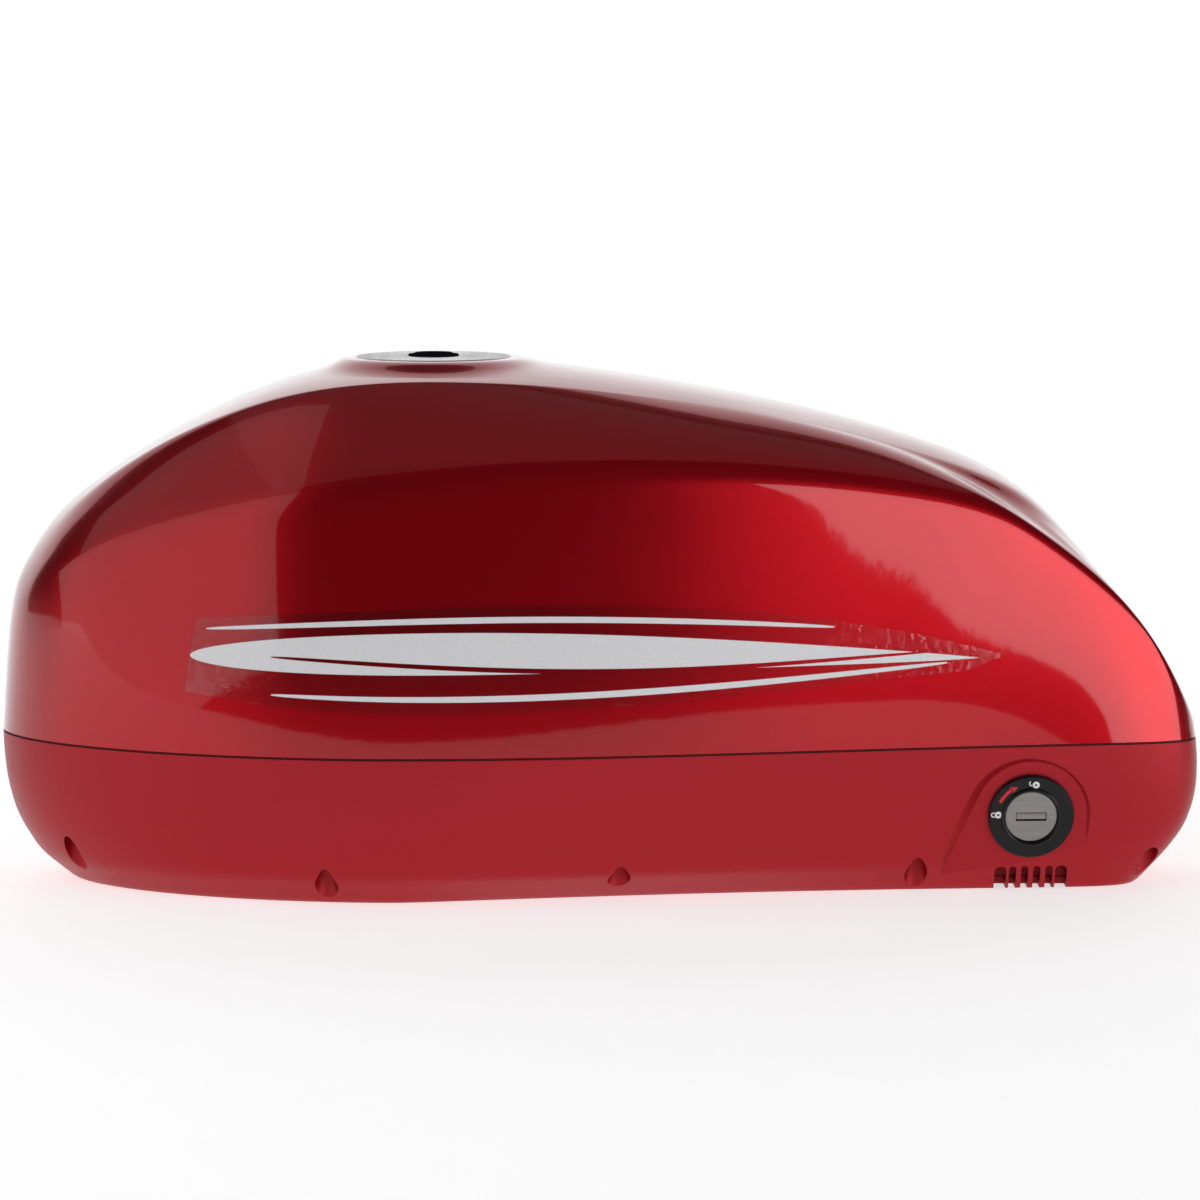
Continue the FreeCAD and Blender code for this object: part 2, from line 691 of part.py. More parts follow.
def cam_parts():
    """Eccentric on the end of the plug, its screw, and the bolt it drives down into the channel."""
    frame = lock_frame()
    throw = dim("cam_throw")
    side = throw * math.sin(math.pi / 4)
    disc = rod("cam_disc", 8, 2.8, (0, 0, -28.2))
    pin = rod("cam_pin", 2, 6.6, (-side, -side, -34.4))
    hole = rod("cam_hole", 1.8, 5, (0, 0, -30))
    cam = cut("lock_cam", fuse("cam_blank", [disc, pin]), hole)
    cam.Placement = frame
    head = rod("cam_screw_head", 2.6, 1.6, (0, 0, -29.8))
    shank = rod("cam_screw_shank", 1.5, 10, (0, 0, -28.2))
    screw = fuse("lock_cam_screw", [head, shank])
    screw.Placement = frame
    body = doc.addObject("PartDesign::Body", "lock_bolt")
    sketch = sketch_on(body, "XY_Plane", "lock_bolt_outline")
    half = dim("bolt_wide") / 2
    add_outline(sketch, [(-9, -9), (-half, -9), (-half, -25.6), (half, -25.6), (half, 2.5), (-9, 2.5)])
    pad = body.newObject("PartDesign::Pad", "lock_bolt_pad")
    pad.Profile = sketch
    bind(pad, "Length", "dims.bolt_thick")
    slot = sketch_on(body, "XY_Plane", "lock_bolt_slot_outline")
    add_outline(slot, [(-7.4, -side - 2.25), (-1, -side - 2.25), (-1, -side + 2.25), (-7.4, -side + 2.25)])
    pocket = body.newObject("PartDesign::Pocket", "lock_bolt_slot")
    pocket.Profile = slot
    pocket.Type = 1
    pocket.Midplane = True
    body.Placement = frame.multiply(FreeCAD.Placement(V(0, 0, -34.2), FreeCAD.Rotation()))
    return [cam, screw, body]


def bolt_middle():
    """Plan position where the bolt passes through the channel's ceiling."""
    return lock_frame().multVec(V(0, -8, -32.7))


def bolt_guide_spots():
    middle = bolt_middle()
    return [(middle.x - 11, middle.y), (middle.x + 11, middle.y)]


def bolt_guide():
    middle = bolt_middle()
    floor = dim("channel_deep") + dim("channel_wall")
    foot = block("guide_foot", (30, 12, 2.5), (middle.x - 15, middle.y - 6, floor))
    tower = block("guide_tower", (16, 12, 6), (middle.x - 8, middle.y - 6, floor))
    slot = block("guide_slot", (10.2, 30, 3.2), (-5.1, -35, -34.3))
    slot.Placement = lock_frame().multiply(slot.Placement)
    holes = [rod("guide_hole_%d" % k, 1.35, 20, (x, y, 10)) for k, (x, y) in enumerate(bolt_guide_spots())]
    guide = cut("bolt_guide", fuse("guide_blank", [foot, tower]), fuse("guide_voids", [slot] + holes))
    return guide


def small_screws(name, spots, seat, reach, upward=False):
    """Cheese head screws. The head rests on the seat and the shank runs away from it."""
    screws = []
    for k, (x, y) in enumerate(spots):
        low = seat if upward else seat - reach
        shank = rod("%s_shank_%d" % (name, k), 1.25, reach, (x, y, low))
        head = rod("%s_head_%d" % (name, k), 2.3, 1.6, (x, y, seat - 1.6 if upward else seat))
        screws.append(fuse("%s_%d" % (name, k), [shank, head]))
    return group(name, screws)


# ---------------------------------------------------------------- charge port
def charge_parts():
    """Socket, its pins and nut, and a cover on a pin above it. Local -Y is up."""
    frame = port_frame()
    hinge_y = -16
    hinge_z = 3.3
    across = ((0, 1, 0), 90)
    shell = turned("charge_barrel", [(6.5, 1.6), (13, 1.6), (13, 0), (10, 0), (10, -16), (0, -16), (0, -11),
                                     (6.5, -11)], FreeCAD.Placement())
    foot = block("cover_foot", (14, 9, 1.4), (-7, hinge_y - 2, 0))
    ears = [block("cover_ear_%d" % k, (2, 3.6, 3.4), (x, hinge_y - 1.8, 1.2)) for k, x in enumerate((-6.3, 4.3))]
    socket = cut("charge_socket", fuse("charge_blank", [shell, foot] + ears),
                 rod("cover_ear_bore", 0.75, 16, (-8, hinge_y, hinge_z), across))
    socket.Placement = frame
    pins = [rod("charge_pin_%d" % k, 0.9, 8, (3 * math.cos(a), 3 * math.sin(a), -11))
            for k, a in enumerate((0.5, 2.6, 4.7))]
    pins = group("charge_pins", pins)
    pins.Placement = frame
    nut = solid("Prism", "charge_nut_blank", Polygon=6, Circumradius=14, Height=4)
    nut = cut("charge_nut", nut, rod("charge_nut_bore", 10, 10, (0, 0, -3)))
    nut.Placement = frame.multiply(FreeCAD.Placement(V(0, 0, -10), FreeCAD.Rotation()))
    hinge_pin = rod("cover_pin", 0.75, 12.6, (-6.3, hinge_y, hinge_z), across)
    hinge_pin.Placement = frame.multiply(hinge_pin.Placement)
    lid = rod("cover_lid", 12.4, 1.8, (0, 0, 1.8))
    plug = rod("cover_plug", 5.4, 4, (0, 0, -2.2))
    tongue = block("cover_tongue", (8, 6, 1.8), (-4, hinge_y, 1.8))
    knuckle = rod("cover_knuckle", 1.5, 8, (-4, hinge_y, hinge_z), across)
    tab = block("cover_tab", (6, 2.2, 2.6), (-3, 11, 1.9))
    cover = cut("charge_cover", fuse("cover_blank", [lid, plug, tongue, knuckle, tab]),
                rod("cover_bore", 0.8, 12, (-6, hinge_y, hinge_z), across))
    cover.Placement = frame
    return [socket, pins, nut, hinge_pin, cover]


# ---------------------------------------------------------------- dock connector and rails
def dock_spots():
    front = dim("channel_front")
    return [(front + 4, -17.6), (front + 4, 17.6)]


def dock_blades(name, grow):
    """Two power blades and two signal blades along X."""
    front = dim("channel_front")
    blades = []
    for k, y in enumerate((-9.5, -3, 3, 9.5)):
        wide = (3.6 if abs(y) > 5 else 1.6) + grow
        blades.append(block("%s_%d" % (name, k), (16.5 + grow, wide, 1 + grow),
                            (front - 12 - grow, y - wide / 2, 7.6 - grow / 2)))
    return group(name, blades)


def dock_parts():
    front = dim("channel_front")
    body = block("dock_body", (16, 30, 10), (front - 10, -15, 3.1))
    flange = block("dock_flange", (8, 39.4, 2.5), (front + 0.2, -19.7, 11.5))
    mouth = block("dock_mouth", (5, 26, 7), (front + 2, -13, 4.6))
    holes = [rod("dock_hole_%d" % k, 1.35, 20, (x, y, 5)) for k, (x, y) in enumerate(dock_spots())]
    voids = fuse("dock_voids", [mouth] + holes)
    housing = cut("dock_shell", fuse("dock_blank", [body, flange]), voids)
    return [cut("dock_connector", housing, dock_blades("dock_slots", 0)), dock_blades("dock_contacts", 0)]


def rail_spots():
    return [(x, side * 12) for x in (-105, -35, 35, 105) for side in (-1, 1)]


def rail(name, side):
    """Pressed strip: top flange under the ceiling, web on the wall, lip for the bike-side base."""
    deep = dim("channel_deep")
    half = dim("channel_half")
    low = 3
    body = doc.addObject("PartDesign::Body", name)
    sketch = sketch_on(body, "YZ_Plane", name + "_section")
    corners = [(half, deep), (half, low), (half - 6, low), (half - 6, low + 1.8), (half - 1.8, low + 1.8),
               (half - 1.8, deep - 1.8), (half - 11, deep - 1.8), (half - 11, deep)]
    add_outline(sketch, [(side * y, z) for y, z in corners])
    pad = body.newObject("PartDesign::Pad", name + "_pad")
    pad.Profile = sketch
    pad.Length = 236
    bore_sketch = sketch_on(body, "XY_Plane", name + "_holes")
    for x, y in rail_spots():
        if y * side > 0:
            bore_sketch.addGeometry(Part.Circle(V(x + 118, y, 0), V(0, 0, 1), 1.35), False)
    bores = body.newObject("PartDesign::Pocket", name + "_bores")
    bores.Profile = bore_sketch
    bores.Type = 1
    bores.Midplane = True
    body.Placement = FreeCAD.Placement(V(-118, 0, 0), FreeCAD.Rotation())
    return body


# ---------------------------------------------------------------- cell pack
def cell_spots():
    """Thirteen stations by five staggered rows, seen from the side."""
    pitch = dim("cell_pitch")
    spots = []
    for row in range(5):
        for k in range(13):
            x = dim("cell_first") + pitch * k + (pitch / 2 if row % 2 else 0)
            spots.append((x, dim("cell_low") + row * pitch * math.sqrt(3) / 2))
    return spots


def battery_cells():
    cells = []
    across = ((1, 0, 0), -90)
    for k, (x, z) in enumerate(cell_spots()):
        can = rod("cell_can_%d" % k, "dims.cell_radius", "dims.cell_length",
                  (x, "-dims.cell_length / 2", z), across)
        cells.append(can)
    return group("battery_cells", cells)


def cell_holder(name, side):
    half = dim("holder_half")
    thick = dim("holder_thick")
    low = dim("cell_low") - 10.5
    wide = 12 * dim("cell_pitch") + dim("cell_pitch") / 2 + 21
    tall = 4 * dim("cell_pitch") * math.sqrt(3) / 2 + 21
    start = half - thick if side > 0 else -half
    plate = block(name + "_plate", (wide, thick, tall), (dim("cell_first") - 10.5, start, low))
    across = ((1, 0, 0), -90)
    deep = dim("cell_length") / 2
    voids = []
    for k, (x, z) in enumerate(cell_spots()):
        voids.append(rod("%s_seat_%d" % (name, k), dim("cell_radius") + 0.1, deep,
                         (x, 0 if side > 0 else -deep, z), across))
        voids.append(rod("%s_window_%d" % (name, k), 6.5, 12,
                         (x, deep - 6 if side > 0 else -deep - 6, z), across))
    return cut(name, plate, group(name + "_voids", voids))


def nickel_strips(name, side):
    """One pressed strip for each pair of rows, welded through the windows."""
    half = dim("cell_length") / 2
    pitch = dim("cell_pitch")
    strips = []
    pairs = ((0, 1), (2, 3)) if side > 0 else ((1, 2), (3, 4))
    rest = 4 if side > 0 else 0
    bands = [(min(pair), max(pair)) for pair in pairs] + [(rest, rest)]
    for k, (low, high) in enumerate(bands):
        z = dim("cell_low") + low * pitch * math.sqrt(3) / 2 - 4
        tall = (high - low) * pitch * math.sqrt(3) / 2 + 8
        y = dim("holder_half") if side > 0 else -dim("holder_half") - 0.3
        plate = block("%s_band_%d" % (name, k), (12 * pitch + 14, 0.3, tall), (dim("cell_first") - 4, y, z))
        strips.append(plate)
    tabs = []
    for k, (x, z) in enumerate(cell_spots()):
        y = half if side > 0 else -dim("holder_half")
        tabs.append(rod("%s_tab_%d" % (name, k), 3.5, dim("holder_half") - half, (x, y, z),
                        ((1, 0, 0), -90)))
    return fuse(name, strips + tabs)


def pack_parts():
    """Board, heat sink and small fittings on top of the cell pack."""
    deck = dim("cell_low") + 4 * dim("cell_pitch") * math.sqrt(3) / 2 + 10.5
    feet = [rod("standoff_%d" % k, 3, 7, (x, y, deck)) for k, (x, y) in enumerate(board_spots())]
    taps = [rod("standoff_tap_%d" % k, 1.25, 8, (x, y, deck + 2)) for k, (x, y) in enumerate(board_spots())]
    standoffs = cut("board_standoffs", group("standoff_feet", feet), group("standoff_taps", taps))
    board = doc.addObject("PartDesign::Body", "bms_board")
    sketch = sketch_on(board, "XY_Plane", "bms_board_outline")
    add_outline(sketch, [(-88, -32), (46, -32), (46, 32), (-88, 32)])
    for x, y in board_spots():
        sketch.addGeometry(Part.Circle(V(x, y, 0), V(0, 0, 1), 1.4), False)
    pad = board.newObject("PartDesign::Pad", "bms_board_pad")
    pad.Profile = sketch
    pad.Length = 1.6
    board.Placement = FreeCAD.Placement(V(0, 0, deck + 7), FreeCAD.Rotation())
    top = deck + 8.6
    base = block("sink_base", (70, 36, 3), (-32, -18, top))
    fins = [block("sink_fin_%d" % k, (70, 1.6, 9), (-32, -18 + 5.73 * k, top + 2)) for k in range(7)]
    sink = fuse("bms_heatsink", [base] + fins)
    plugs = group("bms_connectors", [block("switch_plug", (9, 14, 8), (-61.5, -7, top)),
                                     block("charge_plug", (16, 9, 8), (-76, 22, top)),
                                     block("main_terminals", (8, 40, 7), (-87, -26, top))])
    screws = small_screws("board_screws", board_spots(), top, 6.6)
    pads = group("foam_pads", [block("foam_floor", (252, 70, 2), (-152, -35, 16.5)),
                               block("foam_front", (3, 50, 50), (-163.5, -25, 36)),
                               block("foam_rear", (3, 50, 50), (114.25, -25, 36))])
    return [standoffs, board, sink, plugs, screws, pads]


def board_spots():
    return [(-82, -28.5), (-82, 28.5), (41, -28.5), (41, 28.5)]


def lead(corners, radius, bend):
    """Wire along straight runs joined by tangent arcs."""
    corners = [V(*c) for c in corners]
    edges = []
    start = corners[0]
    for a, b, c in zip(corners, corners[1:], corners[2:]):
        back = (a - b).normalize()
        ahead = (c - b).normalize()
        reach = bend / math.tan(back.getAngle(ahead) / 2)
        enter = b + back * reach
        leave = b + ahead * reach
        middle = (back + ahead).normalize()
        gap = math.hypot(bend, reach) - bend
        edges.append(Part.makeLine(start, enter))
        edges.append(Part.Arc(enter, b + middle * gap, leave).toShape())
        start = leave
    edges.append(Part.makeLine(start, corners[-1]))
    path = Part.Wire(edges)
    ring = Part.Wire(Part.makeCircle(radius, corners[0], corners[1] - corners[0]))
    return path.makePipeShell([ring], True, False)


def leads():
    front = dim("channel_front") - 12
    deck = dim("cell_low") + 4 * dim("cell_pitch") * math.sqrt(3) / 2 + 10.5
    run = deck + 12.2
    up = front - 12
    items = []
    for name, y in (("lead_positive", 9.5), ("lead_negative", -9.5)):
        wire = lead([(front, y, 8.1), (up, y, 8.1), (up, y, run), (-87, y, run)], 2, 8)
        items.append(computed(name, wire))
    signal = [lead([(front, y, 8.1), (up + 1.5, y, 8.1), (up + 1.5, y, run), (-87, y, run)], 1, 7)
              for y in (-3, 3)]
    items.append(computed("signal_leads", Part.Compound(signal)))
    port = port_frame()
    inner = port.multVec(V(0, 0, -16))
    turn = port.multVec(V(0, 0, -16 - (inner.y - 50) / math.cos(math.radians(dim("port_tilt")))))
    charge = lead([inner, turn, (turn.x, 50, run), (turn.x, 31, run)], 1.8, 7)
    items.append(computed("charge_lead", charge))
    x = dim("cap_station")
    low = deck + 16.6
    high = dim("deck_height") + dim("cap_proud") - 30
    pair = [Part.makeCylinder(0.9, high - low, V(x, y, low)) for y in (-3, 3)]
    items.append(computed("switch_leads", Part.Compound(pair)))
    return items


def fuse_holder():
    """Blade fuse block clipped over the positive lead."""
    deck = dim("cell_low") + 4 * dim("cell_pitch") * math.sqrt(3) / 2 + 10.5
    body = block("fuse_block", (24, 10.6, 16), (-140, 4.5, deck))
    bore = rod("fuse_lead_bore", 2, 40, (-150, 9.5, deck + 12.2), ((0, 1, 0), 90))
    return cut("fuse_holder", body, bore)


# ---------------------------------------------------------------- build and write
def check(item):
    for state in item.State:
        if state in ("Invalid", "Error"):
            raise RuntimeError("%s is %s" % (item.Name, state))
    if item.Shape.isNull() or not item.Shape.isValid():
        raise RuntimeError("%s has no valid shape" % item.Name)


nodes = [upper_shell(), lower_shell(), shell_seal()]
nodes += side_decals()
nodes += [case_screws(), threaded_inserts(), cap_plate(), cap_plate_seal()]
nodes += switch_parts()
nodes += lock_parts()
nodes += cam_parts()
nodes += [bolt_guide(), small_screws("bolt_guide_screws", bolt_guide_spots(), 19, 5)]
nodes += charge_parts()
nodes += dock_parts()
nodes += [small_screws("dock_screws", dock_spots(), 11.5, 5, True)]
nodes += [rail("dock_rail_right", -1), rail("dock_rail_left", 1)]
nodes += [small_screws("rail_screws", rail_spots(), 12.2, 4.3, True)]
nodes += [battery_cells(), cell_holder("cell_holder_right", -1), cell_holder("cell_holder_left", 1)]
nodes += [nickel_strips("nickel_strips_right", -1), nickel_strips("nickel_strips_left", 1)]
nodes += pack_parts()
nodes += leads()
nodes += [fuse_holder()]

doc.recompute()
for item in nodes:
    check(item)
    item.Shape.exportStep("parts/%s.step" % item.Name)
    box = item.Shape.BoundBox
    print("%-20s %10.1f  x %7.1f %7.1f  y %6.1f %6.1f  z %6.1f %6.1f" % (
        item.Name, item.Shape.Volume, box.XMin, box.XMax, box.YMin, box.YMax, box.ZMin, box.ZMax))
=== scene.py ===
import json
import math

import bmesh
import bpy
import numpy as np
from mathutils import Matrix, Vector


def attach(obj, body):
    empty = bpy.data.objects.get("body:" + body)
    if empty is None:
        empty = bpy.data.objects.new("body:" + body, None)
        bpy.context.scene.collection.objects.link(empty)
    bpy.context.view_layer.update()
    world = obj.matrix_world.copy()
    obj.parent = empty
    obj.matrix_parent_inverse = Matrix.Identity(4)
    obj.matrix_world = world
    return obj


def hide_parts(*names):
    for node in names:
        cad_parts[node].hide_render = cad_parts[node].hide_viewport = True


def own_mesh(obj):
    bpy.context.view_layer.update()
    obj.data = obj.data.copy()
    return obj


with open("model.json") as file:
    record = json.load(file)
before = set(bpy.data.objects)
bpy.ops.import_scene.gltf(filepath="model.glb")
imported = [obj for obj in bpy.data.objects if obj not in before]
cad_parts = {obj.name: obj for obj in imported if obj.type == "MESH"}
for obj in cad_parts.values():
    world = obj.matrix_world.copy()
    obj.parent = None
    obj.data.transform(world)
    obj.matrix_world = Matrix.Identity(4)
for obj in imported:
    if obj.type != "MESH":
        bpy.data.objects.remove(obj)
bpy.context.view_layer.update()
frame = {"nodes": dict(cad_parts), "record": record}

MM = 0.001
NODES = frame["nodes"]

# ------------------------------------------------------------------ form of the case, in mm
FRONT, REAR, WIDEST, HALF = -210, 210, -68, 83
PARTING, GAP, WALL = 52, 0.4, 2.6
DECK, COLLAR, CAP_X = 183.4, 30.8, -57
REAR_POWER, FRONT_POWER = 9, 1.85
COLUMNS = 48
DECAL_FRONT, DECAL_REAR = -138, 140
BACKED_SPANS = 12                      # spans above the parting line that have an inner skin
PLATE_RADIUS, PLATE_DEPTH = 27.2, 1.9  # seat of the round plate
BORE_RADIUS, CEILING = 8.1, 175.8      # bore under the plate and the inner top of the case
RING_FACE = 1.8                        # height of the lock ring's face over the recess
MARK_RADIUS = 12.35                    # of the circle that the lock's marks sit on
AROUND = 5       # mesh columns for each column of the form
UP = 6           # mesh rings for each span of the form
SHOULDER_LINE = ((-207, 92), (-190, 111), (-156, 122), (-108, 135), (-67, 143), (-16, 149.5), (51, 150),
                 (110, 143), (138, 135), (158, 122), (186, 97), (200, 78), (209, 58))
CREST_LINE = ((-201, 112), (-189, 126), (-171, 142), (-145, 158), (-110, 171.5), (-75, 177), (-33, 177),
              (2, 174), (37, 169), (66, 164), (96, 156.5), (121, 148.5), (138, 142.5), (151, 137))
CENTRE_LINE = ((-201, 112), (-190, 129), (-162, 150), (-134, 166), (-106, 177), (-70, 182), (-21, 181.5),
               (21, 176), (64, 168), (106, 157.5), (134, 147.5), (151, 137))


def ease(t):
    t = np.clip(t, 0, 1)
    return t * t * (3 - 2 * t)


def height_on(line, x):
    """Smooth curve through the (x, z) points of a line."""
    px, pz = np.array(line, float).T
    last = len(px) - 1
    low = np.maximum(np.arange(last + 1) - 1, 0)
    high = np.minimum(np.arange(last + 1) + 1, last)
    slope = (pz[high] - pz[low]) / (px[high] - px[low])
    x = np.clip(x, px[0], px[-1])
    k = np.clip(np.searchsorted(px, x, side="right") - 1, 0, last - 1)
    span = px[k + 1] - px[k]
    rise = pz[k + 1] - pz[k]
    t = (x - px[k]) / span
    a = slope[k] * span - rise
    b = rise - slope[k + 1] * span
    return pz[k] + t * rise + t * (1 - t) * ((1 - t) * a + t * b)


def plan_half(front, rear, half, share, early=1, fine=720):
    """Plan outline on the -Y side from the rear tip to the front tip."""
    near = np.arange(fine + 1) / fine
    reach = 1 - near ** REAR_POWER
    taper = 1 - (1 - share) * ease(reach ** early)
    across = half * taper * (1 - reach ** REAR_POWER) ** (1 / REAR_POWER)
    aft = np.stack([WIDEST + (rear - WIDEST) * reach, -across], 1)
    angle = math.pi / 2 * np.arange(1, fine + 1) / fine
    reach = np.sin(angle) ** (2 / FRONT_POWER)
    across = half * np.maximum(np.cos(angle), 0) ** (2 / FRONT_POWER)
    fore = np.stack([WIDEST - (WIDEST - front) * reach, -across], 1)
    return np.concatenate([aft, fore])


def loop(front, rear, half, share, height, early=1):
    points = plan_half(front, rear, half, share, early)
    runs = np.concatenate([[0], np.cumsum(np.linalg.norm(np.diff(points, axis=0), axis=1))])
    goals = runs[-1] * np.arange(COLUMNS + 1) / COLUMNS
    x = np.interp(goals, runs, points[:, 0])
    y = np.interp(goals, runs, points[:, 1])
    z = np.full_like(x, height) if np.isscalar(height) else height_on(height, x)
    return np.stack([x, y, z], 1)


def circle_loop(radius, height, steps=COLUMNS):
    angle = math.pi * np.arange(steps + 1) / steps
    x = CAP_X + radius * np.cos(angle)
    y = -radius * np.sin(angle)
    z = height(x, y) if callable(height) else np.full_like(x, height)
    return np.stack([x, y, z], 1)


def deck_height_at(crest):
    order = np.argsort(crest[:, 0])
    edge_x, edge_y = crest[order, 0], -crest[order, 1]

    def height(x, y):
        across = np.maximum(np.interp(x, edge_x, edge_y), 0.01)
        centre = height_on(CENTRE_LINE, x)
        side = height_on(CREST_LINE, x)
        return centre - (centre - side) * np.minimum(np.abs(y) / across, 1) ** 2

    return height


def along(low, high, share, swell):
    """Points between two loops, pushed outward by swell at the middle."""
    share = np.broadcast_to(share, len(low))[:, None]
    p = low + (high - low) * share
    run = high - low
    rise = run[:, 2:].copy()
    flat = run * (1, 1, 0)
    length = np.linalg.norm(flat, axis=1, keepdims=True)
    out = flat * (-rise / np.maximum(length, 1e-9))
    out[:, 2:] += length
    out /= np.maximum(np.linalg.norm(out, axis=1, keepdims=True), 1e-9)
    return p + out * (4 * share * (1 - share)) * swell(p)[:, None]


def beside(low, high, distance, swell, from_high):
    share = np.minimum(distance(low) / np.maximum(np.linalg.norm(high - low, axis=1), 1e-9), 0.35)
    return along(low, high, 1 - share if from_high else share, swell)


def toward_front(p):
    return ease((-120 - p[:, 0]) / 85)


def toward_rear(p):
    return ease((p[:, 0] - 110) / 95)


def upper_loops():
    low = loop(FRONT, REAR, HALF, 0.53, PARTING + GAP / 2)
    shoulder = loop(-207, 208.6, 79, 0.52, SHOULDER_LINE)
    crest = loop(-201, 151, 46.5, 0.62, CREST_LINE)
    deck = deck_height_at(crest)
    foot = circle_loop(41, deck)
    side_swell = lambda p: 1.6 - 1.4 * toward_front(p) - 1.4 * toward_rear(p)
    slope_swell = lambda p: 2.2 + 3 * toward_rear(p) - 1.2 * toward_front(p)
    shoulder_round = lambda p: 10 + 12 * toward_front(p)
    crest_round = lambda p: 9 + 6 * toward_front(p) + 7 * toward_rear(p)
    loops = [low, along(low, shoulder, 0.3, side_swell), along(low, shoulder, 0.6, side_swell),
             beside(low, shoulder, shoulder_round, side_swell, True), shoulder,
             beside(shoulder, crest, shoulder_round, slope_swell, False),
             along(shoulder, crest, 0.5, slope_swell),
             beside(shoulder, crest, crest_round, slope_swell, True), crest]
    for share in (0.1, 0.25, 0.45, 0.65, 0.85):
        flat = crest + (foot - crest) * share
        flat[:, 2] = deck(flat[:, 0], flat[:, 1])
        loops.append(flat)
    flare = lambda share: lambda x, y: deck(x, y) + share * (DECK - deck(x, y))
    loops += [foot, circle_loop(COLLAR + 6, flare(0.2)), circle_loop(COLLAR + 2, flare(0.8)),
              circle_loop(COLLAR, DECK),
              circle_loop(COLLAR - 1.3, DECK)]
    return loops


def lower_loops():
    top = loop(FRONT, REAR, HALF, 0.53, PARTING - GAP / 2)
    crease = loop(-198, 199, 75, 0.5, 10, 0.85)
    sole = loop(-185.5, 190, 65.5, 0.51, 0, 0.6)
    flat = loop(-178, 182, 59, 0.5, 0, 0.6)
    inner = loop(-165, 162, 48, 0.48, 0, 0.6)
    wall_swell = lambda p: -1 - 3 * toward_front(p) - 5 * toward_rear(p)
    no_swell = lambda p: 0 * p[:, 0]
    crease_round = lambda p: 4 + 8 * toward_front(p) + 5 * toward_rear(p)
    three = lambda p: 3 + 0 * p[:, 0]
    return [top, along(top, crease, 0.3, wall_swell), along(top, crease, 0.6, wall_swell),
            beside(top, crease, crease_round, wall_swell, True), crease,
            beside(crease, sole, crease_round, no_swell, False),
            beside(crease, sole, three, no_swell, True),
            sole, beside(sole, flat, three, no_swell, False), flat, inner]


def whole(half):
    """Both sides of a half loop as one closed ring."""
    return np.concatenate([half, (half * (1, -1, 1))[-2:0:-1]])


def spline_rows(count, per_span):
    """Weights of a clamped cubic spline: one row for each sample, one column for each pole."""
    knots = np.concatenate([[0] * 3, np.arange(count - 2), [count - 3] * 3]).astype(float)
    t = np.linspace(0, count - 3, per_span * (count - 3) + 1)
    t[-1] -= 1e-9
    weights = np.zeros((len(t), len(knots) - 1))
    k = np.searchsorted(knots, t, side="right") - 1
    weights[np.arange(len(t)), k] = 1
    for degree in (1, 2, 3):
        grown = np.zeros_like(weights)
        for i in range(len(knots) - 1 - degree):
            left = knots[i + degree] - knots[i]
            right = knots[i + degree + 1] - knots[i + 1]
            if left > 0:
                grown[:, i] += (t - knots[i]) / left * weights[:, i]
            if right > 0:
                grown[:, i] += (knots[i + degree + 1] - t) / right * weights[:, i + 1]
        weights = grown
    return weights[:, :count]


def skin_of(loops):
    """Dense rings of the smooth surface whose poles are the loops."""
    net = np.array([whole(half) for half in loops])
    columns = net.shape[1]
    t = np.arange(columns * AROUND) / AROUND
    k = np.floor(t).astype(int)
    s = (t - k)[None, :, None]
    pick = lambda shift: net[:, (k + shift) % columns]
    net = (pick(-1) * (1 - s) ** 3 + pick(0) * (3 * s ** 3 - 6 * s ** 2 + 4)
           + pick(1) * (-3 * s ** 3 + 3 * s ** 2 + 3 * s + 1) + pick(2) * s ** 3) / 6
    return np.einsum("vr,rcx->vcx", spline_rows(len(loops), UP), net)


def normals_of(rings):
    """Outward direction at each point of the rings."""
    around = np.roll(rings, -1, 1) - np.roll(rings, 1, 1)
    up = np.gradient(rings, axis=0)
    out = np.cross(up, around)
    out /= np.linalg.norm(out, axis=2, keepdims=True)
    middle = rings.mean((0, 1))
    if ((rings[0] - middle) * out[0]).sum() < 0:
        out = -out
    return out


# ------------------------------------------------------------------ meshes
def new_object(name, points, faces, body, smooth=True):
    mesh = bpy.data.meshes.new(name)
    mesh.from_pydata([tuple(p) for p in np.asarray(points) * MM], [], [tuple(map(int, f)) for f in faces])
    mesh.update()
    thing = bpy.data.objects.new(name, mesh)
    bpy.context.scene.collection.objects.link(thing)
    mesh.polygons.foreach_set("use_smooth", [smooth] * len(mesh.polygons))
    if body:
        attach(thing, body)
    return thing


def ring_faces(rows, columns, closed):
    r = np.arange(rows if closed else rows - 1)[:, None]
    c = np.arange(columns)[None, :]
    below = r * columns
    above = (r + 1) % rows * columns
    c2 = (c + 1) % columns
    return np.stack([below + c, above + c, above + c2, below + c2], -1).reshape(-1, 4)


def flip_outward(thing):
    grid = bmesh.new()
    grid.from_mesh(thing.data)
    bmesh.ops.recalc_face_normals(grid, faces=grid.faces)
    grid.to_mesh(thing.data)
    grid.free()


def mark_sharp(thing, degrees):
    """Smooth shading with sharp edges where faces meet at more than this angle."""
    mesh = thing.data
    grid = bmesh.new()
    grid.from_mesh(mesh)
    limit = math.radians(degrees)
    for edge in grid.edges:
        edge.smooth = len(edge.link_faces) == 2 and edge.calc_face_angle(0) < limit
    for face in grid.faces:
        face.smooth = True
    grid.to_mesh(mesh)
    grid.free()


def disc_ring(radius, height, columns):
    return whole(circle_loop(radius, height, columns // 2))


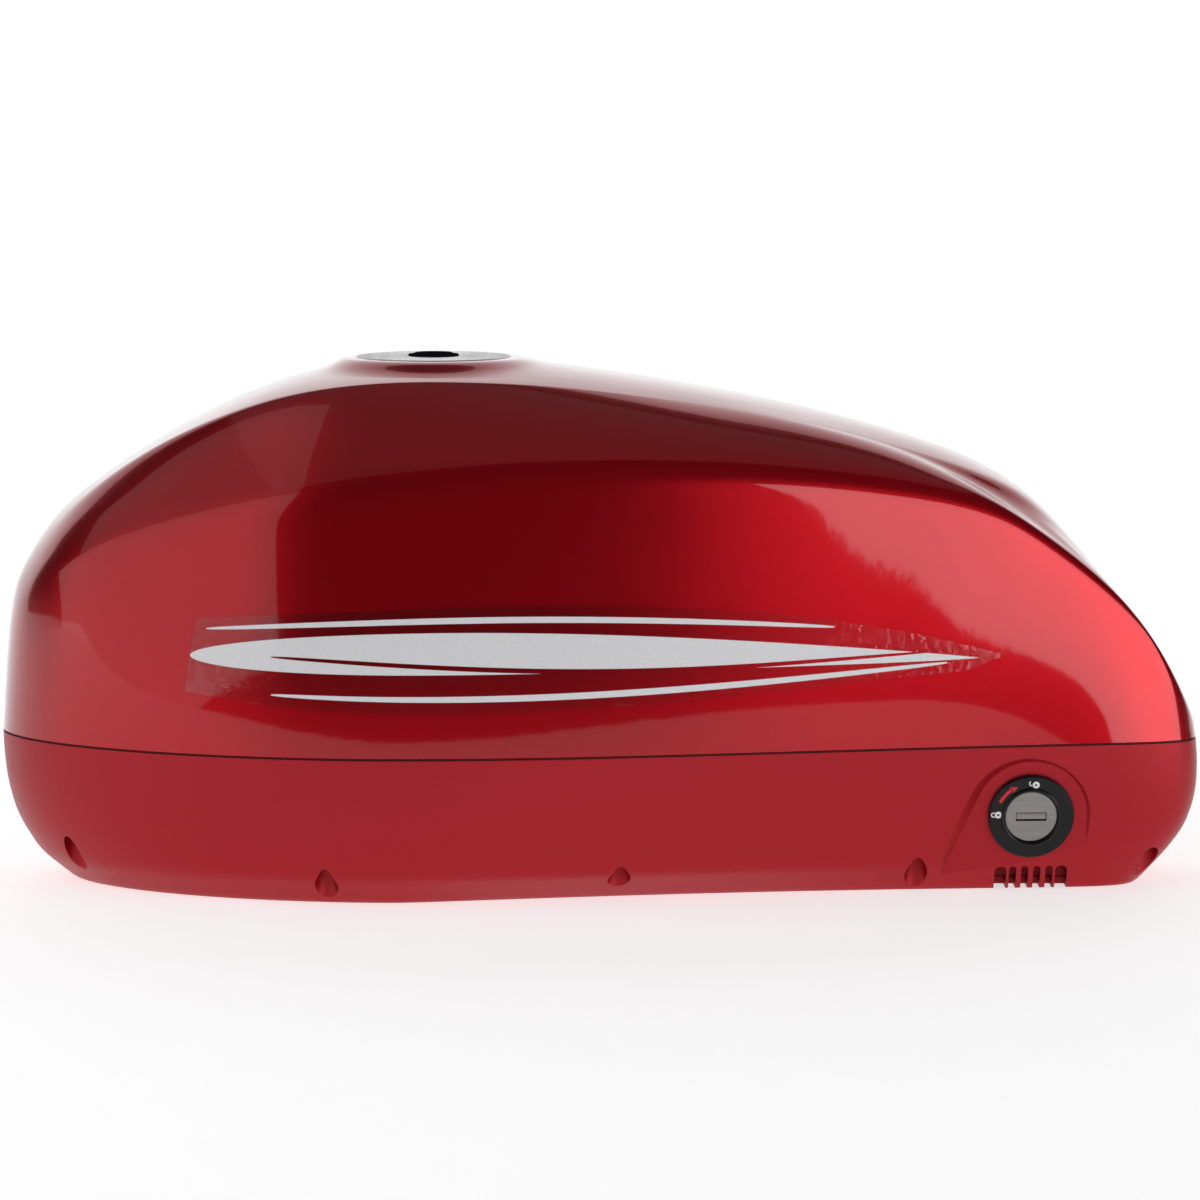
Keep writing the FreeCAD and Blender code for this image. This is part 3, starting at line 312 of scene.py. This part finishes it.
def upper_shell(outer):
    """Closed shell: outer skin, seat for the round plate, bore, and the inner skin."""
    columns = outer.shape[1]
    out = normals_of(outer)
    edge = outer[0] - out[0] * 0.35
    edge[:, 2] = outer[0][:, 2]
    lifted = outer[0] + (0, 0, 0.35)
    rings = [edge, lifted] + list(outer[1:])
    seat = DECK - PLATE_DEPTH
    rings += [disc_ring(PLATE_RADIUS + 0.3, DECK, columns), disc_ring(PLATE_RADIUS, DECK - 0.3, columns),
              disc_ring(PLATE_RADIUS, seat, columns), disc_ring(BORE_RADIUS, seat, columns),
              disc_ring(BORE_RADIUS, CEILING, columns), disc_ring(29, CEILING, columns)]
    backed = slice(0, UP * BACKED_SPANS, 3)
    under = outer[backed] - out[backed] * WALL
    under[0][:, 2] = PARTING + GAP / 2
    rings += list(under[::-1])
    faces = ring_faces(len(rings), columns, True)
    thing = new_object("upper_shell_skin", np.concatenate(rings), faces, "case")
    flip_outward(thing)
    mark_sharp(thing, 38)
    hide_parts("upper_shell")
    return thing


# ------------------------------------------------------------------ materials
class Shader:
    """A node material with a Principled surface and short calls for the usual nodes."""

    def __init__(self, name):
        self.material = bpy.data.materials.new(name)
        self.material.use_nodes = True
        self.tree = self.material.node_tree
        self.surface = self.tree.nodes["Principled BSDF"]
        self.output = self.tree.nodes["Material Output"]

    def node(self, kind, **inputs):
        made = self.tree.nodes.new(kind)
        for key, value in inputs.items():
            if key.startswith("_"):
                setattr(made, key[1:], value)
            else:
                self.feed(made, key, value)
        return made

    def feed(self, node, key, value):
        socket = node.inputs[int(key[1:])] if key[0] == "i" and key[1:].isdigit() else node.inputs[key]
        if isinstance(value, bpy.types.NodeSocket):
            self.tree.links.new(value, socket)
        else:
            socket.default_value = value

    def set(self, **values):
        for key, value in values.items():
            self.feed(self.surface, key.replace("_", " "), value)
        return self

    def place(self):
        return self.node("ShaderNodeTexCoord").outputs["Object"]

    def noise(self, scale, detail=3, rough=0.5, stretch=None):
        where = self.place()
        if stretch:
            where = self.node("ShaderNodeMapping", Vector=where, Scale=stretch).outputs["Vector"]
        return self.node("ShaderNodeTexNoise", Vector=where, Scale=scale, Detail=detail,
                         Roughness=rough).outputs["Fac"]

    def ramp(self, factor, *stops):
        node = self.node("ShaderNodeValToRGB", Fac=factor)
        band = node.color_ramp
        while len(band.elements) < len(stops):
            band.elements.new(0.5)
        for element, (at, colour) in zip(band.elements, stops):
            element.position = at
            element.color = (*colour, 1) if len(colour) == 3 else colour
        return node.outputs["Color"]

    def span(self, value, low, high, to_low, to_high):
        limits = {"From Min": low, "From Max": high, "To Min": to_low, "To Max": to_high}
        return self.node("ShaderNodeMapRange", Value=value, **limits).outputs["Result"]

    def maths(self, kind, a, b=0.0):
        return self.node("ShaderNodeMath", _operation=kind, i0=a, i1=b).outputs[0]

    def mix(self, factor, a, b):
        node = self.tree.nodes.new("ShaderNodeMix")
        node.data_type = "RGBA"
        for at, value in ((0, factor), (6, a), (7, b)):
            if isinstance(value, bpy.types.NodeSocket):
                self.tree.links.new(value, node.inputs[at])
            else:
                node.inputs[at].default_value = value if at == 0 else (*value, 1)[:4]
        return node.outputs[2]

    def bump(self, height, distance, strength=1.0):
        node = self.node("ShaderNodeBump", Height=height, Distance=distance, Strength=strength)
        return node.outputs["Normal"]


def candy_gloss():
    """Deep metallic red under lacquer, with slight orange peel."""
    s = Shader("candy_gloss")
    facing = s.node("ShaderNodeLayerWeight", Blend=0.4).outputs["Facing"]
    flake = s.noise(5200, 1, 0.5)
    deep = s.mix(facing, (0.42, 0.0, 0.006), (0.16, 0.0, 0.004))
    colour = s.mix(s.span(flake, 0.35, 0.75, 0.0, 0.3), deep, (0.62, 0.004, 0.012))
    peel = s.noise(160, 2, 0.5)
    grain = s.noise(4300, 1, 0.5)
    s.set(Base_Color=colour, Metallic=0.62, Roughness=s.span(s.noise(35), 0.3, 0.7, 0.16, 0.19), IOR=1.25,
          Normal=s.bump(grain, 0.00004, 0.6), Coat_Weight=1.0, Coat_Roughness=0.03, Coat_IOR=1.4,
          Coat_Normal=s.bump(peel, 0.0001, 0.06))
    return s.material


def candy_satin():
    """Same red with a satin lacquer and a fine grain."""
    s = Shader("candy_satin")
    facing = s.node("ShaderNodeLayerWeight", Blend=0.3).outputs["Facing"]
    tint = s.mix(facing, (0.40, 0.004, 0.012), (0.28, 0.004, 0.010))
    mottle = s.noise(60, 4, 0.6)
    colour = s.mix(s.span(mottle, 0.3, 0.7, 0.0, 0.18), tint, (0.46, 0.010, 0.02))
    grain = s.noise(2600, 2, 0.6)
    soft = s.node("ShaderNodeBevel", _samples=4, Radius=0.0005).outputs["Normal"]
    rough = s.node("ShaderNodeBump", Height=grain, Distance=0.00005, Strength=0.5,
                   Normal=soft).outputs["Normal"]
    s.set(Base_Color=colour, Metallic=0.45, Roughness=s.span(mottle, 0.3, 0.7, 0.40, 0.47), Normal=rough,
          IOR=1.4, Coat_Weight=0.12, Coat_Roughness=0.28)
    return s.material


def brushed(name, colour, rough, stretch, depth=0.00002):
    s = Shader(name)
    lines = s.noise(900, 3, 0.7, stretch)
    shade = s.mix(s.span(lines, 0.3, 0.7, 0.0, 0.4), colour, tuple(c * 0.72 for c in colour))
    soft = s.node("ShaderNodeBevel", _samples=4, Radius=0.00025).outputs["Normal"]
    bump = s.node("ShaderNodeBump", Height=lines, Distance=depth, Strength=0.6,
                  Normal=soft).outputs["Normal"]
    s.set(Base_Color=shade, Metallic=1.0, Roughness=s.span(lines, 0.3, 0.7, rough - 0.05, rough + 0.08),
          Normal=bump, Anisotropic=0.5)
    return s.material


def plain(name, colour, rough, metallic=0.0, scale=900, depth=0.00003, vary=0.12, coat=0.0,
          shine=0.5):
    """Moulded or plated finish with fine grain and a little wear."""
    s = Shader(name)
    cloud = s.noise(45, 4, 0.6)
    grain = s.noise(scale, 3, 0.6)
    lighter = tuple(min(c * (1 + 2 * vary) + 0.01 * vary, 1) for c in colour)
    shade = s.mix(s.span(cloud, 0.3, 0.7, 0.0, 1.0), colour, lighter)
    soft = s.node("ShaderNodeBevel", _samples=4, Radius=0.0003).outputs["Normal"]
    bump = s.node("ShaderNodeBump", Height=grain, Distance=depth, Strength=0.5,
                  Normal=soft).outputs["Normal"]
    s.set(Base_Color=shade, Metallic=metallic,
          Roughness=s.span(cloud, 0.3, 0.7, rough - 0.04, rough + 0.05),
          Normal=bump, Coat_Weight=coat, Coat_Roughness=0.1, Specular_IOR_Level=shine)
    return s.material


def decal_film():
    """Clear film with a white flash and pinstripes printed on it."""
    s = Shader("decal_film")
    spot = s.node("ShaderNodeSeparateXYZ", Vector=s.place())
    u = s.span(spot.outputs["X"], DECAL_FRONT * MM, DECAL_REAR * MM, 0.0, 1.0)
    z = s.maths("MULTIPLY", spot.outputs["Z"], 1 / MM)

    def wave(height, rise, turns, start):
        phase = s.maths("ADD", s.maths("MULTIPLY", u, 2 * math.pi * turns), start)
        return s.maths("ADD", s.maths("MULTIPLY", s.maths("SINE", phase), rise), height)

    def swell(most, low, high, power, lean=1.0):
        """Half width along the flash: nothing at both ends, widest to the front if lean is under 1."""
        t = s.maths("POWER", s.span(u, low, high, 0.0, 1.0), lean)
        hump = s.maths("SINE", s.maths("MULTIPLY", t, math.pi))
        return s.maths("MULTIPLY", s.maths("POWER", s.maths("MAXIMUM", hump, 0.0), power), most)

    def stripe(middle, half):
        away = s.maths("SUBTRACT", half, s.maths("ABSOLUTE", s.maths("SUBTRACT", z, middle)))
        return s.span(away, 0.0, 0.08, 0.0, 1.0)

    flash = stripe(wave(84.6, 3.6, 0.5, 0.5), swell(7.2, 0.0, 0.97, 0.8, 0.62))
    gap = stripe(wave(84.8, 3.2, 0.8, 2.0), swell(0.9, 0.10, 0.93, 0.35, 0.8))
    ink = s.maths("SUBTRACT", flash, gap)
    for middle, half in ((wave(93.0, 6.6, 0.5, 0.35), swell(1.1, 0.02, 0.79, 0.3)),
                         (wave(84.0, -11.3, 0.35, 0.9), swell(1.15, 0.10, 0.93, 0.3))):
        ink = s.maths("MAXIMUM", ink, stripe(middle, half))
    speck = s.noise(1400, 3, 0.6)
    s.set(Base_Color=s.mix(s.span(speck, 0.3, 0.7, 0.0, 1.0), (0.76, 0.76, 0.79), (0.84, 0.84, 0.86)),
          Roughness=s.span(speck, 0.3, 0.7, 0.32, 0.4), Coat_Weight=0.5, Coat_Roughness=0.08,
          Normal=s.bump(speck, 0.00002, 0.3))
    clear = s.node("ShaderNodeBsdfTransparent", Color=(0.99, 0.98, 0.98, 1)).outputs[0]
    shine = s.node("ShaderNodeBsdfGlossy", Color=(1, 1, 1, 1), Roughness=0.07,
                   Normal=s.bump(s.noise(420, 2, 0.5), 0.00012, 0.35)).outputs[0]
    film = s.node("ShaderNodeMixShader", Fac=s.node("ShaderNodeFresnel", IOR=1.3).outputs[0],
                  i1=clear, i2=shine).outputs[0]
    print_on = s.node("ShaderNodeMixShader", Fac=ink, i1=film, i2=s.surface.outputs["BSDF"]).outputs[0]
    s.feed(s.output, "Surface", print_on)
    return s.material


def wear(thing, material):
    thing.data.materials.clear()
    thing.data.materials.append(material)
    return thing


# ------------------------------------------------------------------ build
outer_skin = skin_of(upper_loops())
gloss = candy_gloss()
satin = candy_satin()
wear(upper_shell(outer_skin), gloss)

finish = {
    "rubber": plain("black_rubber", (0.018, 0.018, 0.02), 0.62, scale=700),
    "plastic": plain("black_plastic", (0.012, 0.012, 0.013), 0.42, scale=1500),
    "ring": plain("black_ring", (0.005, 0.005, 0.006), 0.30, scale=2500, depth=0.00001, shine=0.25),
    "switch": plain("black_switch", (0.008, 0.009, 0.012), 0.55, scale=1500, shine=0.0),
    "white": plain("white_plastic", (0.7, 0.69, 0.65), 0.42),
    "steel": plain("plain_steel", (0.42, 0.42, 0.43), 0.3, 1.0),
    "black_steel": plain("black_steel", (0.035, 0.034, 0.035), 0.42, 0.9),
    "brass": plain("brass", (0.66, 0.45, 0.16), 0.3, 1.0),
    "nickel": plain("nickel_plate", (0.6, 0.57, 0.52), 0.24, 1.0),
    "deck": brushed("brushed_deck", (0.74, 0.73, 0.725), 0.42, (1, 0.02, 1)),
    "rail": brushed("brushed_rail", (0.68, 0.68, 0.69), 0.34, (0.02, 1, 1)),
    "lock": brushed("brushed_lock", (0.28, 0.27, 0.255), 0.34, (0.03, 1, 1)),
    "wrap": plain("cell_wrap", (0.03, 0.24, 0.3), 0.3, coat=0.4),
    "board": plain("board_mask", (0.012, 0.13, 0.05), 0.35, coat=0.3),
    "foam": plain("foam", (0.09, 0.09, 0.095), 0.85, scale=350, depth=0.0002),
    "red_lead": plain("red_lead", (0.42, 0.012, 0.012), 0.45),
    "black_lead": plain("black_lead", (0.022, 0.022, 0.022), 0.45),
    "decal": decal_film(),
}
slot_finish = {"black_rubber": "rubber", "decal_white": "decal", "black_steel": "black_steel",
               "brass": "brass",
               "brushed_aluminium": "rail", "black_metal": "switch", "nickel": "nickel",
               "brushed_nickel": "lock", "spring_steel": "steel", "black_plastic": "plastic",
               "cell_wrap": "wrap", "board_green": "board", "white_plastic": "white", "foam_grey": "foam",
               "lead_red": "red_lead", "lead_black": "black_lead"}
for part in frame["record"]["subparts"]:
    node, slot_name = part["node"], part["material_slot"]
    if slot_name in slot_finish:
        wear(NODES[node], finish[slot_finish[slot_name]])
        mark_sharp(NODES[node], 35)
wear(NODES["cap_plate"], finish["deck"])
wear(NODES["lock_bezel"], finish["ring"])
wear(NODES["lower_shell"], satin)
mark_sharp(NODES["lower_shell"], 30)


def pressed_spring():
    """Copy of the switch spring, attached to the case in place of the hidden original."""
    node = NODES["switch_spring"]
    spring = bpy.data.objects.new("switch_spring_wound", node.data.copy())
    bpy.context.scene.collection.objects.link(spring)
    spring.matrix_world = node.matrix_world.copy()
    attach(spring, "case")
    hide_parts("switch_spring")
    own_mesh(spring)


# ------------------------------------------------------------------ marks on the lock ring
def joint(name):
    return next(j for j in frame["record"]["behaviour"]["joints"] if j["name"] == name)


def lock_place():
    """Local frame of the lock: X along the case, Y up the wall, Z out of it."""
    out = -Vector(joint("lock_turn")["axis"]).normalized()
    up = Vector(joint("bolt_slide")["axis"]).normalized()
    turn = Matrix((up.cross(out), up, out)).transposed().to_4x4()
    return Matrix.Translation(Vector(joint("lock_turn")["pos_m"]) / MM) @ turn


def plate(name, outlines, material, height, thick=0.04):
    """Thin printed shapes on the ring, from closed outlines in the lock's frame."""
    place = lock_place()
    points, faces = [], []
    for outline in outlines:
        count, first = len(outline), len(points)
        for z in (height - thick, height):
            points += [place @ Vector((x, y, z)) for x, y in outline]
        faces.append([first + count + k for k in range(count)])
        faces.append([first + k for k in reversed(range(count))])
        faces += [[first + k, first + (k + 1) % count, first + count + (k + 1) % count, first + count + k]
                  for k in range(count)]
    return wear(new_object(name, points, faces, "case", smooth=False), material)


def arc(x, y, radius, start, end, steps):
    return [(x + radius * math.cos(math.radians(a)), y + radius * math.sin(math.radians(a)))
            for a in np.linspace(start, end, steps)]


def band(x, y, outer, inner, start, end, steps=14):
    return arc(x, y, outer, start, end, steps) + arc(x, y, inner, end, start, steps)


def padlock(x, y, lean, opened):
    """Outlines of a padlock: a round body with a keyhole and a shackle, turned by lean degrees."""
    shackle = (40, 235) if opened else (-35, 215)
    shapes = [band(0, -0.75, 1.25, 0.38, 90, 270), band(0, -0.75, 1.25, 0.38, -90, 90),
              band(0.25 if opened else 0, 0.85, 0.98, 0.55, *shackle)]
    c, n = math.cos(math.radians(lean)), math.sin(math.radians(lean))
    return [[(x + c * px - n * py, y + n * px + c * py) for px, py in shape] for shape in shapes]


def lock_marks():
    face = RING_FACE + 0.045
    mid = MARK_RADIUS
    white = plain("mark_white", (0.72, 0.72, 0.72), 0.5, scale=3000, depth=0.00001)
    red = plain("mark_red", (0.55, 0.008, 0.015), 0.5, scale=3000, depth=0.00001)
    plate("mark_locked", padlock(-mid, 0.9, 90, False), white, face)
    plate("mark_unlocked", padlock(0.5, mid - 0.5, 78, True), white, face)
    sweep = band(0, 0, mid + 0.55, mid - 0.65, 154, 124)
    tip = [(r * math.cos(math.radians(a)), r * math.sin(math.radians(a)))
           for r, a in ((mid + 1.25, 126), (mid - 0.2, 114), (mid - 1.35, 126))]
    plate("mark_arrow", [sweep, tip], red, face)


lock_marks()
pressed_spring()


# ------------------------------------------------------------------ stage, light and camera
def stage():
    """Pale floor that curves up into a backdrop, beyond the reach of a camera behind the object."""
    rows = []
    bend, back, top = 0.6, 1.9, 3.6
    profile = [(-0.525, 0.0), (back, 0.0)]
    profile += [(back + bend * math.sin(a), bend - bend * math.cos(a))
                for a in np.linspace(0.1, math.pi / 2, 14)]
    for y, z in profile + [(back + bend, top)]:
        rows.append([(-3.5, y, z), (3.5, y, z)])
    points = np.array(rows).reshape(-1, 3) / MM
    faces = [(2 * k, 2 * k + 1, 2 * k + 3, 2 * k + 2) for k in range(len(rows) - 1)]
    sweep = new_object("studio_sweep", points, faces, None)
    paper = plain("studio_paper", (0.86, 0.86, 0.87), 0.8, vary=0.02)
    surface = paper.node_tree.nodes["Principled BSDF"]
    surface.inputs["Emission Color"].default_value = (1, 1, 1, 1)
    surface.inputs["Emission Strength"].default_value = 0.64
    wear(sweep, paper)


def panel(name, corner, up, height, across, width, power, aim=(0, 0, 0.1)):
    """Soft panel from a corner and its two edge directions, lit on the side of the aim point."""
    lamp = bpy.data.lights.new(name, "AREA")
    lamp.shape = "RECTANGLE"
    lamp.size, lamp.size_y = width, height
    lamp.energy = power
    thing = bpy.data.objects.new(name, lamp)
    bpy.context.scene.collection.objects.link(thing)
    up, across = Vector(up).normalized(), Vector(across).normalized()
    side = across if (Vector(aim) - Vector(corner)).dot(across.cross(up)) < 0 else -across
    turn = Matrix((-side, up, up.cross(side))).transposed()
    if (Vector(aim) - Vector(corner)).dot(-turn.col[2]) < 0:
        turn = Matrix((side, up, side.cross(up))).transposed()
    centre = Vector(corner) + up * height / 2 + across * width / 2
    thing.matrix_world = Matrix.Translation(centre) @ turn.to_4x4()
    return thing


def camera():
    data = bpy.data.cameras.new("view")
    thing = bpy.data.objects.new("view", data)
    bpy.context.scene.collection.objects.link(thing)
    spot, aim = Vector((0, -1.85, 0.3055)), Vector((0, 0, 0.0885))
    thing.location = spot
    thing.rotation_euler = (aim - spot).to_track_quat("-Z", "Y").to_euler()
    data.sensor_width = 36
    data.lens = 36 * (aim - spot).length / (0.353 * MM * 1200)
    data.shift_x = 4 / 1200
    data.shift_y = 25 / 1200
    data.clip_start, data.clip_end = 0.05, 20
    bpy.context.scene.camera = thing


stage()
# edge directions of the two left panels
LEAN = (0.116, 0.661, 0.741)
LEFTWARD = (-0.907, 0.375, -0.193)
panel("left_box", (-0.72, -1.31, 0.0), LEAN, 1.25, LEFTWARD, 2.3, 8.4)
panel("left_high_box", (-0.575, -0.484, 0.926), LEAN, 0.75, LEFTWARD, 1.4, 1.4)
panel("right_box", (1.715, -3.05, -0.6), (-0.16, 0, 1), 1.4, (0.45, 0.89, 0.072), 2.9, 41)
panel("top_box", (-1.5, -1.0, 2.2), (0, 1, 0), 2.0, (1, 0, 0), 3.0, 3.2)
camera()
world = bpy.data.worlds.new("studio")
bpy.context.scene.world = world
world.use_nodes = True
world.node_tree.nodes["Background"].inputs["Color"].default_value = (0.5, 0.5, 0.52, 1)
world.node_tree.nodes["Background"].inputs["Strength"].default_value = 0.1
bpy.context.scene.view_settings.view_transform = "Standard"
